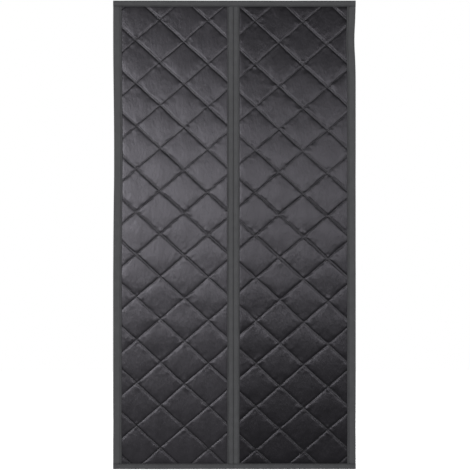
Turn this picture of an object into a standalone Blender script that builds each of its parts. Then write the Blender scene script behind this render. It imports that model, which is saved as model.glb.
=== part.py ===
"""Magnetic thermal door curtain.

Two quilted leaves hang side by side from one header and close along rows of magnets in their
meeting edges. Each leaf is a face cloth, a wadding and a lining, quilted in diamonds and bound
on all four edges. Hook-and-loop tape along the top and the outer sides fixes the curtain to a
door frame.

X runs across the doorway, Z is up and the front faces -Y. The origin is the middle of the
header's adhesive tape, on the plane of the door frame. Lengths are in metres.
"""

import math
from collections import namedtuple

import bmesh
import bpy
from mathutils import Matrix, Vector

NAME = "magnetic_thermal_door_curtain"

# The whole curtain
WIDTH = 1.085
HEIGHT = 2.100
MEETING_X = -0.0047
LEAF_GAP = 0.0004

# Bands of binding cloth, seen from the front
HEADER_BAND = 0.028
SIDE_BAND = 0.0385
BINDING_CLOTH = 0.001
FOLD_INSIDE_RADIUS = 0.0005
FOLD_SEGMENTS = 2

# How far the quilt's cloths reach into the meeting bindings and the hems, and how far they
# stay from the fold of the header and the side bindings
MEETING_SEAM = 0.009
HEM_SEAM = 0.010
FOLD_MARGIN = 0.003

# Cloths and fillings, at the seams where they are pinched
GAP = 0.0003
FACE_CLOTH = 0.0008
WADDING_PINCHED = 0.0012
LINING_CLOTH = 0.0006

# Pillows between the seams
FRONT_LOFT = 0.0085
WADDING_SHARE = 0.7
BACK_CLEARANCE = 0.001
EDGE_SLOPE = 0.022
PILLOW_FLATNESS = 5

# Quilting diamonds: each row drops a little towards the right
DIAMOND_WIDTH = 0.215
DIAMOND_HEIGHT = 0.192
ROW_DROP = 0.0055
LEFT_CROSSING = (-0.3325, 0.0842)
RIGHT_CROSSING = (0.0943, 0.0923)
FACE_LINES = (0.0, 0.15, 0.85)
INNER_LINES = (0.0, 0.5)
MIDDLE_TOLERANCE = 0.1

# Magnets in the pockets of the meeting bindings
MAGNET_WIDTH = 0.015
MAGNET_LENGTH = 0.040
MAGNETS_PER_LEAF = 12
POCKET_EASE = 0.001

# Flat weights in the hems
WEIGHT_WIDTH = 0.013
WEIGHT_END_EASE = 0.020

# Hook-and-loop tapes
HOOK_TAPE = 0.0015
LOOP_TAPE = 0.0012
TAPE_WIDTH = 0.020
TAPE_END_MARGIN = 0.004

# Mesh making
MERGE = 0.0001
SHARP_ANGLE = math.radians(20)

# Bands that follow from what they hold
MEETING_BAND = MEETING_SEAM + MAGNET_WIDTH + 2 * POCKET_EASE + BINDING_CLOTH
HEM_BAND = HEM_SEAM + WEIGHT_WIDTH + 2 * POCKET_EASE + BINDING_CLOTH

# Depths in front of the door frame, from back to front
LOOP_BACK = HOOK_TAPE + GAP
LOOP_FRONT = LOOP_BACK + LOOP_TAPE
BINDING_BACK = LOOP_FRONT + GAP
LINING_BACK = BINDING_BACK + BINDING_CLOTH + GAP
LINING_FRONT = LINING_BACK + LINING_CLOTH
WADDING_BACK = LINING_FRONT + GAP
WADDING_FRONT = WADDING_BACK + WADDING_PINCHED
FACE_BACK = WADDING_FRONT + GAP
FACE_FRONT = FACE_BACK + FACE_CLOTH
BINDING_FRONT = FACE_FRONT + GAP + BINDING_CLOTH
BACK_LOFT = LINING_BACK - BACK_CLEARANCE

# Heights, from the middle of the header
TOP = HEADER_BAND / 2
BOTTOM = TOP - HEIGHT
HEADER_LOWER = TOP - HEADER_BAND
HEM_UPPER = BOTTOM + HEM_BAND

Rect = namedtuple("Rect", "left right bottom top")
Leaf = namedtuple("Leaf", "side outer meeting visible cut crossing")


def outward(side):
    """-1 on the left leaf and 1 on the right one: the way from the meeting line to the outer edge."""
    return -1 if side == "left" else 1


def make_leaf(side, crossing):
    """Places of one leaf: its two folds, the quilt that shows and the outline its cloths are cut to."""
    out = outward(side)
    outer = out * WIDTH / 2
    meeting = MEETING_X + out * LEAF_GAP / 2
    shown = sorted((outer - out * SIDE_BAND, meeting + out * MEETING_BAND))
    fold_inset = BINDING_CLOTH + FOLD_MARGIN
    cut = sorted((outer - out * fold_inset, meeting + out * (MEETING_BAND - MEETING_SEAM)))
    return Leaf(
        side=side,
        outer=outer,
        meeting=meeting,
        visible=Rect(*shown, HEM_UPPER, HEADER_LOWER),
        cut=Rect(*cut, HEM_UPPER - HEM_SEAM, TOP - fold_inset),
        crossing=Vector((crossing[0], 0, TOP - crossing[1])),
    )


# Materials

def material(name, colour, roughness, metallic=0.0):
    made = bpy.data.materials.new(name)
    made.use_nodes = True
    shader = made.node_tree.nodes["Principled BSDF"]
    shader.inputs["Base Color"].default_value = (*colour, 1)
    shader.inputs["Roughness"].default_value = roughness
    shader.inputs["Metallic"].default_value = metallic
    made.diffuse_color = (*colour, 1)
    return made


def make_materials():
    return {
        "face": material("charcoal quilted cloth", (0.070, 0.067, 0.078), 0.42),
        "lining": material("grey lining cloth", (0.100, 0.100, 0.105), 0.70),
        "wadding": material("white wadding", (0.800, 0.800, 0.780), 0.95),
        "binding": material("grey binding cloth", (0.078, 0.078, 0.082), 0.85),
        "hook": material("black hook tape", (0.020, 0.020, 0.022), 0.60),
        "loop": material("black loop tape", (0.028, 0.028, 0.030), 0.95),
        "magnet": material("coated magnet", (0.240, 0.235, 0.230), 0.35, 0.8),
        "weight": material("zinc plated steel", (0.520, 0.530, 0.540), 0.35, 1.0),
    }


# Scene

def clear_scene():
    for item in list(bpy.data.objects):
        bpy.data.objects.remove(item, do_unlink=True)


def make_collection():
    made = bpy.data.collections.new(NAME)
    bpy.context.scene.collection.children.link(made)
    return made


def add_empty(name, collection, location):
    made = bpy.data.objects.new(name, None)
    made.location = location
    collection.objects.link(made)
    return made


def add_object(name, mesh, finish, collection, location, parent):
    """Links a finished bmesh as an object at location, under parent, which stands at the origin."""
    data = bpy.data.meshes.new(name)
    mesh.to_mesh(data)
    mesh.free()
    data.materials.append(finish)
    made = bpy.data.objects.new(name, data)
    made.location = location
    made.parent = parent
    collection.objects.link(made)
    return made


# Boxes and folded strips

def block_mesh(low, high):
    """A box about its own middle, and the place of that middle."""
    size = Vector(high) - Vector(low)
    mesh = bmesh.new()
    bmesh.ops.create_cube(mesh, size=1)
    bmesh.ops.scale(mesh, vec=size, verts=mesh.verts)
    return mesh, (Vector(low) + Vector(high)) / 2


def add_block(name, low, high, finish, collection, parent):
    mesh, middle = block_mesh(low, high)
    add_object(name, mesh, finish, collection, middle, parent)


def add_binding(name, rect, opening, finish, collection, parent):
    """A strip folded round an edge: the outside of a box that is open towards opening and at both
    ends, rounded at its two folds and given the cloth's thickness inwards."""
    low = (rect.left, -BINDING_FRONT, rect.bottom)
    high = (rect.right, -BINDING_BACK, rect.top)
    mesh, middle = block_mesh(low, high)
    opening = Vector(opening)
    ends = opening.cross(Vector((0, 1, 0)))
    gone = [
        face for face in mesh.faces
        if round(face.normal.dot(opening)) == 1 or round(face.normal.dot(ends)) != 0
    ]
    bmesh.ops.delete(mesh, geom=gone, context="FACES")
    made = add_object(name, mesh, finish, collection, middle, parent)
    fold = made.modifiers.new("fold", "BEVEL")
    fold.width = BINDING_CLOTH + FOLD_INSIDE_RADIUS
    fold.segments = FOLD_SEGMENTS
    fold.limit_method = "ANGLE"
    cloth = made.modifiers.new("cloth", "SOLIDIFY")
    cloth.thickness = BINDING_CLOTH
    cloth.offset = -1
    cloth.use_even_offset = True


# Quilted layers

def lattice_steps():
    """The two sides of a diamond: one runs down to the right, the other up to the right."""
    half_width = DIAMOND_WIDTH / 2
    down = Vector((half_width, 0, -(DIAMOND_HEIGHT + ROW_DROP) / 2))
    up = Vector((half_width, 0, (DIAMOND_HEIGHT - ROW_DROP) / 2))
    return down, up


def lattice_matrix(leaf):
    """Turns quilting coordinates (down, 0, up), counted in diamond sides, into places on the leaf."""
    down, up = lattice_steps()
    turn = Matrix((down, Vector((0, 1, 0)), up)).transposed()
    return Matrix.Translation(leaf.crossing) @ turn.to_4x4()


def rise(share):
    """Height of a pillow across one diamond, from 0 at a seam to 1 half way to the next one."""
    return 1 - abs(2 * share - 1) ** PILLOW_FLATNESS


def edge_share(place, rect):
    """0 at the bindings and outside them, growing to 1 at EDGE_SLOPE inside the visible quilt."""
    inside = min(
        place.x - rect.left, rect.right - place.x, place.z - rect.bottom, rect.top - place.z
    )
    return min(max(inside / EDGE_SLOPE, 0), 1)


def pillow(place, leaf, to_lattice):
    """Share of the loft at a place: the rise along both sides of its diamond, eased at the edges."""
    along = to_lattice @ Vector((place.x, 0, place.z))
    return rise(along.x % 1) * rise(along.z % 1) * edge_share(place, leaf.visible)


def spans_middle(face):
    """True for the facet in the middle of a diamond, in quilting coordinates."""
    middle = face.calc_center_median()
    off = max(abs(2 * (middle.x % 1) - 1), abs(2 * (middle.z % 1) - 1))
    return off < MIDDLE_TOLERANCE


def lattice_grid(leaf, lines, to_lattice):
    """A flat grid over the whole leaf, with lines at the given shares of each diamond's side. A facet
    across the middle of a diamond gets a crown point there."""
    corners = [
        to_lattice @ Vector((x, 0, z))
        for x in (leaf.visible.left, leaf.visible.right)
        for z in (leaf.visible.bottom, leaf.visible.top)
    ]
    first = [math.floor(min(corner[axis] for corner in corners)) for axis in (0, 2)]
    last = [math.ceil(max(corner[axis] for corner in corners)) for axis in (0, 2)]
    cells = max(last[0] - first[0], last[1] - first[1])
    steps = len(lines) * cells
    mesh = bmesh.new()
    bmesh.ops.create_grid(mesh, x_segments=steps, y_segments=steps, size=steps / 2)
    for vert in mesh.verts:
        count = [round(vert.co[axis] + steps / 2) for axis in (0, 1)]
        share = [n // len(lines) + lines[n % len(lines)] for n in count]
        vert.co = (first[0] + share[0], 0, first[1] + share[1])
    bmesh.ops.poke(mesh, faces=[face for face in mesh.faces if spans_middle(face)])
    bmesh.ops.transform(mesh, matrix=lattice_matrix(leaf), verts=mesh.verts)
    return mesh


def cut_along(mesh, rect, trim):
    """Cuts the flat mesh along the four sides of rect, and takes off what lies outside if trim is set."""
    sides = (
        ((rect.left, 0, 0), (-1, 0, 0)),
        ((rect.right, 0, 0), (1, 0, 0)),
        ((0, 0, rect.bottom), (0, 0, -1)),
        ((0, 0, rect.top), (0, 0, 1)),
    )
    for place, normal in sides:
        everything = mesh.verts[:] + mesh.edges[:] + mesh.faces[:]
        bmesh.ops.bisect_plane(
            mesh, geom=everything, plane_co=place, plane_no=normal, dist=MERGE, clear_outer=trim
        )


def inset(rect, distance):
    return Rect(
        rect.left + distance, rect.right - distance, rect.bottom + distance, rect.top - distance
    )


def add_allowance(mesh, rect):
    """Fills the flat ring between the edge of the visible quilt and rect, where the cloth is cut."""
    edge = [edge for edge in mesh.edges if edge.is_boundary]
    places = (
        (rect.left, rect.bottom), (rect.right, rect.bottom),
        (rect.right, rect.top), (rect.left, rect.top),
    )
    corners = [mesh.verts.new((x, 0, z)) for x, z in places]
    rim = [mesh.edges.new((corners[k - 1], corners[k])) for k in range(4)]
    bmesh.ops.triangle_fill(mesh, edges=edge + rim, normal=(0, -1, 0), use_beauty=True)


def split_facets(mesh, height):
    """Splits each facet of four corners or more as a fan, from the corner whose cuts run highest, so
    that the pillows bulge outwards."""
    for face in [face for face in mesh.faces if len(face.verts) > 3]:
        corners = face.verts[:]
        count = len(corners)
        cuts = [[corners[(k + step) % count] for step in range(2, count - 1)] for k in range(count)]
        levels = [sum(height[corners[k]] + height[end] for end in cuts[k]) for k in range(count)]
        best = levels.index(max(levels))
        for end in cuts[best]:
            other, _ = bmesh.utils.face_split(face, corners[best], end)
            face = max(face, other, key=lambda piece: len(piece.verts))


def add_layer(name, leaf, outline, lines, shoulder, front, back, finish, collection, parent):
    """One layer of the quilt, cut to outline, with a line of points where its edge slope ends if
    shoulder is set. front and back are pairs of a depth at the seams and a loft added to it in the
    middle of a diamond."""
    to_lattice = lattice_matrix(leaf).inverted()
    mesh = lattice_grid(leaf, lines, to_lattice)
    cut_along(mesh, leaf.visible, trim=True)
    if shoulder:
        cut_along(mesh, inset(leaf.visible, EDGE_SLOPE), trim=False)
    height = {vert: pillow(vert.co, leaf, to_lattice) for vert in mesh.verts}
    split_facets(mesh, height)
    if outline != leaf.visible:
        add_allowance(mesh, outline)
    doubled = bmesh.ops.extrude_face_region(mesh, geom=mesh.faces[:])
    rear = {item for item in doubled["geom"] if isinstance(item, bmesh.types.BMVert)}
    for vert in mesh.verts:
        depth, loft = back if vert in rear else front
        vert.co.y = -(depth + loft * pillow(vert.co, leaf, to_lattice))
    bmesh.ops.recalc_face_normals(mesh, faces=mesh.faces)
    bmesh.ops.translate(mesh, vec=-leaf.crossing, verts=mesh.verts)
    made = add_object(name, mesh, finish, collection, leaf.crossing, parent)
    made.data.shade_smooth()
    made.data.set_sharp_from_angle(angle=SHARP_ANGLE)


def add_quilt(leaf, finishes, collection, parent):
    """Face cloth, wadding and lining. The wadding stops at the bindings, the cloths run into them."""
    add_layer(
        f"face_cloth_{leaf.side}", leaf, leaf.cut, FACE_LINES, True,
        (FACE_FRONT, FRONT_LOFT), (FACE_BACK, FRONT_LOFT),
        finishes["face"], collection, parent,
    )
    add_layer(
        f"wadding_{leaf.side}", leaf, leaf.visible, INNER_LINES, False,
        (WADDING_FRONT, FRONT_LOFT * WADDING_SHARE), (WADDING_BACK, -BACK_LOFT),
        finishes["wadding"], collection, parent,
    )
    add_layer(
        f"lining_{leaf.side}", leaf, leaf.cut, INNER_LINES, False,
        (LINING_FRONT, -BACK_LOFT), (LINING_BACK, -BACK_LOFT),
        finishes["lining"], collection, parent,
    )


# What hangs on each leaf

def add_leaf_bindings(leaf, finishes, collection, parent):
    """Outer side, meeting edge and hem. Header and hem run the full width, the others between them."""
    out = outward(leaf.side)
    upright = (HEM_UPPER + GAP, HEADER_LOWER - GAP)
    outer = sorted((leaf.outer, leaf.outer - out * SIDE_BAND))
    meeting = sorted((leaf.meeting, leaf.meeting + out * MEETING_BAND))
    across = sorted((leaf.outer, leaf.meeting))
    strips = (
        ("side_binding", Rect(*outer, *upright), (-out, 0, 0)),
        ("meeting_binding", Rect(*meeting, *upright), (out, 0, 0)),
        ("hem_binding", Rect(*across, BOTTOM, HEM_UPPER), (0, 0, 1)),
    )
    for name, rect, opening in strips:
        add_binding(f"{name}_{leaf.side}", rect, opening, finishes["binding"], collection, parent)


def pocket_depths():
    """Front and back of what fills a pocket between the two walls of a binding."""
    return -(BINDING_FRONT - BINDING_CLOTH - GAP), -(BINDING_BACK + BINDING_CLOTH + GAP)


def add_magnets(leaf, finishes, collection, parent):
    """A row of flat bar magnets, evenly spaced along the pocket beside the meeting line."""
    out = outward(leaf.side)
    front, back = pocket_depths()
    near = leaf.meeting + out * (BINDING_CLOTH + POCKET_EASE)
    left, right = sorted((near, near + out * MAGNET_WIDTH))
    pitch = (HEADER_LOWER - HEM_UPPER) / MAGNETS_PER_LEAF
    for number in range(MAGNETS_PER_LEAF):
        middle = HEADER_LOWER - pitch / 2 - number * pitch
        low = (left, front, middle - MAGNET_LENGTH / 2)
        high = (right, back, middle + MAGNET_LENGTH / 2)
        name = f"magnet_{leaf.side}_{number + 1:02d}"
        add_block(name, low, high, finishes["magnet"], collection, parent)


def add_hem_weight(leaf, finishes, collection, parent):
    """A flat steel strip in the fold of the hem."""
    front, back = pocket_depths()
    left, right = sorted((leaf.outer, leaf.meeting))
    bottom = BOTTOM + BINDING_CLOTH + POCKET_EASE
    low = (left + WEIGHT_END_EASE, front, bottom)
    high = (right - WEIGHT_END_EASE, back, bottom + WEIGHT_WIDTH)
    add_block(f"hem_weight_{leaf.side}", low, high, finishes["weight"], collection, parent)


# Header and fixing tapes

def add_header(finishes, collection, parent):
    rect = Rect(-WIDTH / 2, WIDTH / 2, HEADER_LOWER, TOP)
    add_binding("header_binding", rect, (0, 0, -1), finishes["binding"], collection, parent)


def add_tape_pair(place, rect, finishes, collection, parent):
    """Loop tape sewn on the back of a binding, and the adhesive hook tape that it is pressed on."""
    for kind, front, back in (("loop", LOOP_FRONT, LOOP_BACK), ("hook", HOOK_TAPE, 0)):
        low = (rect.left, -front, rect.bottom)
        high = (rect.right, -back, rect.top)
        add_block(f"{kind}_tape_{place}", low, high, finishes[kind], collection, parent)


def add_tapes(finishes, collection, parent):
    """One pair along the header and one down each side, each in the middle of its band."""
    half = TAPE_WIDTH / 2
    reach = WIDTH / 2 - TAPE_END_MARGIN
    middle = (TOP + HEADER_LOWER) / 2
    header = Rect(-reach, reach, middle - half, middle + half)
    add_tape_pair("header", header, finishes, collection, parent)
    band_middle = WIDTH / 2 - SIDE_BAND / 2
    for side in ("left", "right"):
        x = outward(side) * band_middle
        down = Rect(x - half, x + half, HEM_UPPER + TAPE_END_MARGIN, HEADER_LOWER - TAPE_END_MARGIN)
        add_tape_pair(side, down, finishes, collection, parent)


def main():
    clear_scene()
    finishes = make_materials()
    collection = make_collection()
    curtain = add_empty("curtain", collection, (0, 0, 0))
    add_header(finishes, collection, curtain)
    add_tapes(finishes, collection, curtain)
    for side, crossing in (("left", LEFT_CROSSING), ("right", RIGHT_CROSSING)):
        leaf = make_leaf(side, crossing)
        add_quilt(leaf, finishes, collection, curtain)
        add_leaf_bindings(leaf, finishes, collection, curtain)
        add_magnets(leaf, finishes, collection, curtain)
        add_hem_weight(leaf, finishes, collection, curtain)


main()
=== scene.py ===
"""Dresses the magnetic thermal door curtain in its cloths, bindings, threads and finishes.

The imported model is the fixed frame: every width, height and depth of a layer comes from its boxes.
X runs across the doorway, Z is up and the quilted front faces -Y. Lengths are in metres.
"""

import math
from collections import namedtuple

import bmesh
import bpy
import numpy as np
from bpy.props import FloatProperty, FloatVectorProperty, IntProperty, PointerProperty
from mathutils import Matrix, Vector


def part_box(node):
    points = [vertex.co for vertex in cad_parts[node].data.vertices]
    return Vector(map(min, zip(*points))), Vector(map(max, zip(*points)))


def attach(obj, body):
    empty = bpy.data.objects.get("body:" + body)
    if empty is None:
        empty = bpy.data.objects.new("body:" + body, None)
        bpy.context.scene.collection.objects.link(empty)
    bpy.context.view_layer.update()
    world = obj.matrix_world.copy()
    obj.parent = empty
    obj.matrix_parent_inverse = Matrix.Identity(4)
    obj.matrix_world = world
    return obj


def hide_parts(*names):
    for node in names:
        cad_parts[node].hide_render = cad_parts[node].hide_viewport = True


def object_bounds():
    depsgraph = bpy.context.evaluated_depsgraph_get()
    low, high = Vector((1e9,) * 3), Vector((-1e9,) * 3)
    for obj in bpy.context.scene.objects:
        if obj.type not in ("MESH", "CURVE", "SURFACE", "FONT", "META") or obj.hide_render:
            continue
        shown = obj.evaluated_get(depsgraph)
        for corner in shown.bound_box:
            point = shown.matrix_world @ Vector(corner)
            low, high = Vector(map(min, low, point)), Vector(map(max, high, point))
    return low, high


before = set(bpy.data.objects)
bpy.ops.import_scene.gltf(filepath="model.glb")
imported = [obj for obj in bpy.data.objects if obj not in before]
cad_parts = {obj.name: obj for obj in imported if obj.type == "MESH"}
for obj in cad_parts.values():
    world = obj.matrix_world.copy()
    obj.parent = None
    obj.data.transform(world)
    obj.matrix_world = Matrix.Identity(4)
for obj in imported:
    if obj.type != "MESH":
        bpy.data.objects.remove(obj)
CAD_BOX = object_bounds()

bl_info = {
    "name": "Magnetic Door Curtain",
    "version": (1, 0, 0),
    "blender": (4, 5, 0),
    "location": "3D View > Sidebar > Curtain",
    "description": "Quilted cloths, folded bindings and threads on the frame of a door curtain",
    "category": "Object",
}

SIDES = ("left", "right")
CAD_MIDDLE = (CAD_BOX[0] + CAD_BOX[1]) / 2
MEETING_LINE = (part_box("meeting_binding_left")[1].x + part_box("meeting_binding_right")[0].x) / 2

# Ways across the doorway, up and down
ACROSS, UP, DOWN = (1, 0, 0), (0, 0, 1), (0, 0, -1)

Rect = namedtuple("Rect", "left right bottom top")
Leaf = namedtuple("Leaf", "side out outer meeting visible sewn cut crossing")
Depths = namedtuple("Depths", "face_back lining_front binding_front binding_back")
Strip = namedtuple("Strip", "name node origin inward along length width row magnets")


# Settings

def number(name, description, default, **more):
    return FloatProperty(name=name, description=description, default=default, **more)


def length(name, description, default):
    return number(name, description, default, unit="LENGTH", precision=4)


def share(name, description, default):
    return number(name, description, default, subtype="FACTOR", min=0, max=1)


def place(name, description, default, **more):
    return FloatVectorProperty(
        name=name, description=description, default=default, size=len(default), unit="LENGTH", **more
    )


def colour(name, description, default):
    return FloatVectorProperty(
        name=name, description=description, default=default, subtype="COLOR", size=3, min=0, max=1
    )


class QuiltSettings(bpy.types.PropertyGroup):
    """The quilting lattice and the relief of the pillows."""

    diamond_width: length("Diamond width", "From side corner to side corner", 0.215)
    diamond_height: length("Diamond height", "From top corner to bottom corner", 0.192)
    row_drop: length("Row drop", "How far each row sinks over one diamond to the right", 0.0055)
    left_crossing: place("Left crossing", "A crossing of seams: X, and down from the top", (-0.3325, 0.0842))
    right_crossing: place("Right crossing", "The same on the right leaf", (0.0943, 0.0923))
    cloth: length("Face cloth", "Thickness of the face cloth", 0.0008)
    stretched: share("Stretched cloth", "Part of its thickness that is left over the pillows", 0.6)
    loft: length("Loft", "Height of a pillow above its seams", 0.0068)
    wall_share: share("Wall share", "Part of the loft that the steep walls beside the seams take", 0.52)
    wall_reach: length("Wall reach", "How far from a seam its steep wall reaches", 0.0046)
    row_gap: length("Row gap", "Between the two rows of a double seam", 0.0062)
    welt: length("Welt", "How much higher one row of a double seam lies than the other", 0.0024)
    wander: length("Wander", "How far the seams stray from straight lines", 0.0016)
    edge_slope: length("Edge slope", "How far inside the bindings the pillows reach full height", 0.032)
    pucker: length("Pucker", "Height of the gathers across the seams", 0.0014)
    wrinkle: length("Wrinkle", "Height of the long wrinkles in the pillows", 0.0014)
    lean: number("Lean", "Steepest slope that a pillow leans at", 0.026)
    gloss: share("Gloss", "Specular level of the face cloth", 0.285)
    gloss_tint: colour("Gloss tint", "Colour of the cloth's shine", (0.93, 0.90, 1.0))
    left_colour: colour("Left cloth colour", "Satin charcoal cloth", (0.044, 0.041, 0.045))
    # Painted shade: the right leaf is the same cloth as the left, painted darker for the lesser light on it
    right_shaded_colour: colour("Right cloth colour", "The same cloth, its nap the other way", (0.008, 0.007, 0.008))
    # Painted shade: the face cloth is painted near black down in the seams' creases, where shade falls
    crease_shade_colour: colour("Crease colour", "The cloth where the seams pull it in", (0.003, 0.003, 0.003))


class LiningSettings(bpy.types.PropertyGroup):
    """The back of the quilt and its filling."""

    cloth: length("Lining cloth", "Thickness of the lining", 0.0006)
    loft: length("Back loft", "How far a pillow bulges behind its seams", 0.0034)
    colour: colour("Lining colour", "Grey taffeta lining", (0.100, 0.100, 0.105))
    # Painted shade: the lining is painted darker along its seams, where shade falls in the creases
    crease_shade_colour: colour("Lining crease colour", "The lining along its seams", (0.035, 0.035, 0.037))
    wadding_share: share("Wadding share", "Height of the wadding under the face cloth", 0.60)
    wadding_pinched: length("Pinched wadding", "Thickness of the wadding at the seams", 0.0012)
    wadding_colour: colour("Wadding colour", "White fibre wadding", (0.80, 0.80, 0.78))


class BindingSettings(bpy.types.PropertyGroup):
    """The folded strips round every edge."""

    cloth: length("Binding cloth", "Thickness of the binding", 0.001)
    bulge: length("Bulge", "How far the strip swells between its fold and its stitches", 0.0006)
    groove: length("Groove", "How deep the stitches pull the strip in", 0.0003)
    waver: length("Waver", "How far the edges stray from a straight line", 0.0007)
    bow: length("Bow", "How far the outer edges bow in", 0.0042)
    side_row: length("Side row", "From the inner edge of a side binding to its stitches", 0.0085)
    meeting_row: length("Meeting row", "From the inner edge of a meeting binding to its stitches", 0.0060)
    cross_row: length("Header and hem row", "From the inner edge of a header or hem to its stitches", 0.0060)
    magnet_lift: length("Magnet lift", "How far a magnet lifts its pocket", 0.0006)
    colour: colour("Binding colour", "Matt grey woven strip", (0.174, 0.174, 0.177))
    # Painted shade: the binding is painted darker along its stitches, its inner edge and its fold, where
    # shade falls
    crease_shade_colour: colour("Binding crease colour", "At its stitches and folds", (0.085, 0.085, 0.088))


class ThreadSettings(bpy.types.PropertyGroup):
    """Quilting thread and topstitching."""

    pitch: length("Stitch pitch", "From one stitch to the next", 0.0050)
    stitch: length("Stitch length", "Length of the thread that shows", 0.0040)
    thickness: length("Thread", "Thickness of the thread", 0.0010)
    colour: colour("Thread colour", "Grey polyester thread", (0.045, 0.043, 0.046))
    binding_colour: colour("Topstitch colour", "Grey polyester thread", (0.100, 0.100, 0.105))


class FixingSettings(bpy.types.PropertyGroup):
    """Tapes, magnets and weights, which keep the frame's own shapes."""

    hook_colour: colour("Hook tape colour", "Black moulded hooks", (0.020, 0.020, 0.022))
    loop_colour: colour("Loop tape colour", "Black brushed loops", (0.028, 0.028, 0.030))
    magnet_colour: colour("Magnet colour", "Nickel coat", (0.240, 0.235, 0.230))
    weight_colour: colour("Weight colour", "Zinc plated steel", (0.520, 0.530, 0.540))


class StageSettings(bpy.types.PropertyGroup):
    """Camera, lights, backdrop and floor."""

    photo_pixel: length("Photo pixel", "Size of one of the photograph's 470 pixels on the curtain", 0.0044786)
    photo_pixels: IntProperty(name="Photo pixels", description="Width of the photograph", default=470)
    camera_x: length("Camera X", "Place of the camera across the doorway", 0.0025)
    camera_z: length("Camera Z", "Height of the camera", -1.0367)
    lens: number("Lens", "Focal length", 100, unit="CAMERA")
    key_place: place("Key place", "Middle of the soft box in front", (-0.40, -1.45, -0.82), subtype="XYZ")
    key_width: length("Key width", "Width of the soft box", 2.50)
    key_height: length("Key height", "Height of the soft box", 0.50)
    key_power: number("Key power", "Strength of the soft box", 37.5, unit="POWER")
    rim_place: place("Rim place", "Middle of the right side light", (1.8, -2.0, -0.60), subtype="XYZ")
    rim_size: length("Rim size", "Side of the side lights", 0.80)
    left_rim_power: number("Left rim power", "Strength of the left side light", 64, unit="POWER")
    right_rim_power: number("Right rim power", "Strength of the right side light", 36, unit="POWER")
    back_place: place("Back place", "Middle of the light behind", (2.3, 1.3, -0.2), subtype="XYZ")
    back_size: length("Back size", "Side of the light behind", 1.80)
    back_power: number("Back power", "Strength of the light behind", 75, unit="POWER")
    ambient: number("Ambient", "Strength of the light from all round", 0.36)
    ambient_colour: colour("Ambient colour", "Colour of that light", (0.96, 0.97, 1.0))
    floor_colour: colour("Floor colour", "Pale floor", (0.80, 0.80, 0.80))
    floor_glow: number("Floor glow", "Brightness of the lit floor", 0.80)
    floor_drop: length("Floor drop", "How far the floor lies below the hem", 0.035)
    floor_size: length("Floor size", "Side of the floor", 9.0)


class CurtainSettings(bpy.types.PropertyGroup):
    """All the settings of the curtain."""

    quilt: PointerProperty(type=QuiltSettings)
    lining: PointerProperty(type=LiningSettings)
    binding: PointerProperty(type=BindingSettings)
    thread: PointerProperty(type=ThreadSettings)
    fixing: PointerProperty(type=FixingSettings)
    stage: PointerProperty(type=StageSettings)


# Places read from the frame

def make_leaf(side, quilt, binding):
    """One leaf's places: its folds, the quilt that shows, the outline its bindings are sewn along,
    the outline its cloths are cut to and a crossing of its seams."""
    outer_low, outer_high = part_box(f"side_binding_{side}")
    inner_low, inner_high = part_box(f"meeting_binding_{side}")
    cut_low, cut_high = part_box(f"face_cloth_{side}")
    header_low, header_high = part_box("header_binding")
    if side == "left":
        out, outer, meeting, crossing = -1, outer_low.x, inner_high.x, quilt.left_crossing
        shown = (outer_high.x, inner_low.x)
        left, right = binding.side_row, binding.meeting_row
    else:
        out, outer, meeting, crossing = 1, outer_high.x, inner_low.x, quilt.right_crossing
        shown = (inner_high.x, outer_low.x)
        left, right = binding.meeting_row, binding.side_row
    row, bottom, top = binding.cross_row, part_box(f"hem_binding_{side}")[1].z, header_low.z
    return Leaf(
        side=side, out=out, outer=outer, meeting=meeting,
        visible=Rect(*shown, bottom, top),
        sewn=Rect(shown[0] - left, shown[1] + right, bottom - row, top + row),
        cut=Rect(cut_low.x, cut_high.x, cut_low.z, cut_high.z),
        crossing=(crossing[0], header_high.z - crossing[1]),
    )


def make_leaves(curtain):
    return {side: make_leaf(side, curtain.quilt, curtain.binding) for side in SIDES}


def layer_depths():
    """Depths of the layers at the seams, forward of the door frame."""
    binding_low, binding_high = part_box("side_binding_left")
    return Depths(
        face_back=-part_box("face_cloth_left")[1].y, lining_front=-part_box("lining_left")[0].y,
        binding_front=-binding_low.y, binding_back=-binding_high.y,
    )


# Numbers spread over a surface

def smooth_step(t):
    """3t² - 2t³, which rises from 0 to 1 and is level at both ends."""
    return t * t * (3 - 2 * t)


def soft_noise(a, b, seed):
    """Heights from -1 to 1 that change smoothly: random heights on the whole-number points of a
    plane, blended between neighbours by the smooth step along both ways."""
    side = 61
    table = np.random.default_rng(seed).uniform(-1, 1, (side, side))
    first_a, first_b = np.floor(a), np.floor(b)
    blend_a, blend_b = smooth_step(a - first_a), smooth_step(b - first_b)
    row, column = first_a.astype(int) % side, first_b.astype(int) % side
    next_row, next_column = (row + 1) % side, (column + 1) % side
    low = table[row, column] * (1 - blend_b) + table[row, next_column] * blend_b
    high = table[next_row, column] * (1 - blend_b) + table[next_row, next_column] * blend_b
    return low * (1 - blend_a) + high * blend_a


def share_down(z):
    """How far down the curtain a height lies, from 0 at the top to 1 at the hem."""
    return (CAD_BOX[1].z - z) / (CAD_BOX[1].z - CAD_BOX[0].z)


def change_down(z, start, reach):
    """Grows from 0 to 1 over a reach of the way down, along a smooth step."""
    return smooth_step(np.clip((share_down(z) - start) / reach, 0, 1))


# Bow of each outer edge: its middle and reach as shares of the way down, and its depth
BOWS = {"left": (0.32, 0.15, 1.0), "right": (0.085, 0.045, 1.4)}
# How far the edges stand out elsewhere, as a share of that depth
BOW_REST = 0.25


def bow_shift(x, z, leaf, bow):
    """How far a point shifts across the doorway, because the outer edges hang a little bowed: a bell
    curve down the leaf, growing with the square of the distance from the meeting line."""
    across = np.clip((x - leaf.meeting) / (leaf.outer - leaf.meeting), 0, 1)
    middle, reach, depth = BOWS[leaf.side]
    wave = depth * np.exp(-((share_down(z) - middle) / reach) ** 2) - BOW_REST
    return -leaf.out * bow * wave * across ** 2


# The quilting lattice

# Points this near to a cut are taken to lie on it
CUT_SNAP = 0.00005


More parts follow.
